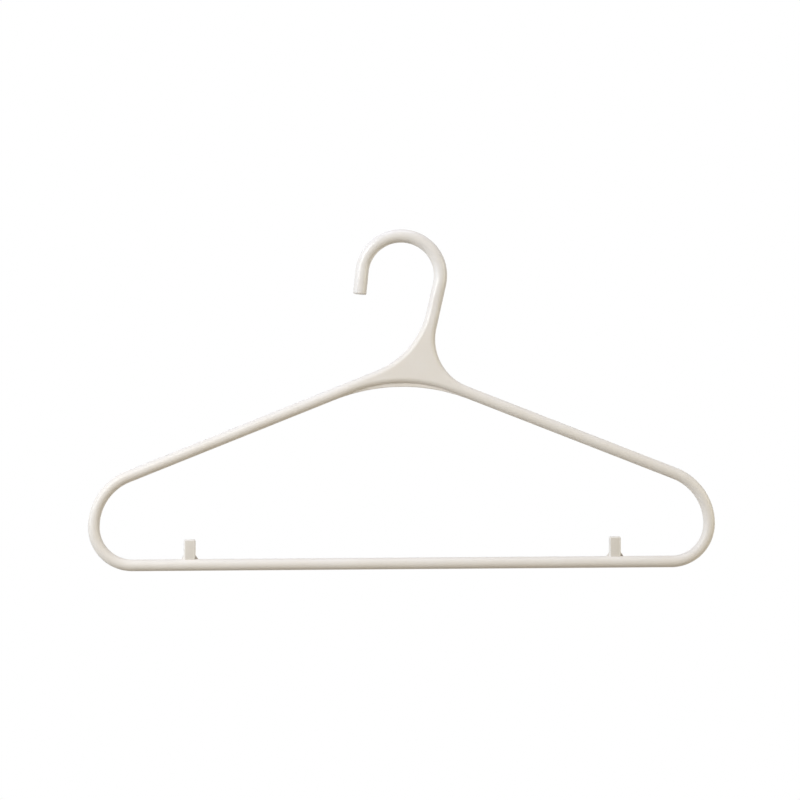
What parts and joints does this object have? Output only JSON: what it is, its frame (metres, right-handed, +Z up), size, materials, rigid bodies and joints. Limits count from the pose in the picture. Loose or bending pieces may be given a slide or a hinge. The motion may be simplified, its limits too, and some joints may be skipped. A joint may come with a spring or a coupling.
{
  "type": "clothes hanger",
  "caption": "Wide one-piece laundry hanger of round rod: open hook, flat neck web over a ribbed arch, sloping arms, rounded ends, straight bar and upright strap pegs.",
  "frame": {"origin": "the point inside the crown of the hook where the hanger sits on its rail, in the middle plane of the rod", "axes": "+X across the shoulders, away from the mouth of the hook; +Y from the front to the back; +Z up"},
  "size_m": [0.45, 0.0098, 0.2446],
  "materials": {
    "ivory_plastic": "satin"
  },
  "bodies": {
    "root": {"hook": "ivory_plastic", "neck": "ivory_plastic", "throat_rib": "ivory_plastic", "left_arm": "ivory_plastic", "right_arm": "ivory_plastic", "left_end_bend": "ivory_plastic", "right_end_bend": "ivory_plastic", "bottom_bar": "ivory_plastic", "left_strap_peg": "ivory_plastic", "right_strap_peg": "ivory_plastic"}
  },
  "joints": []
}
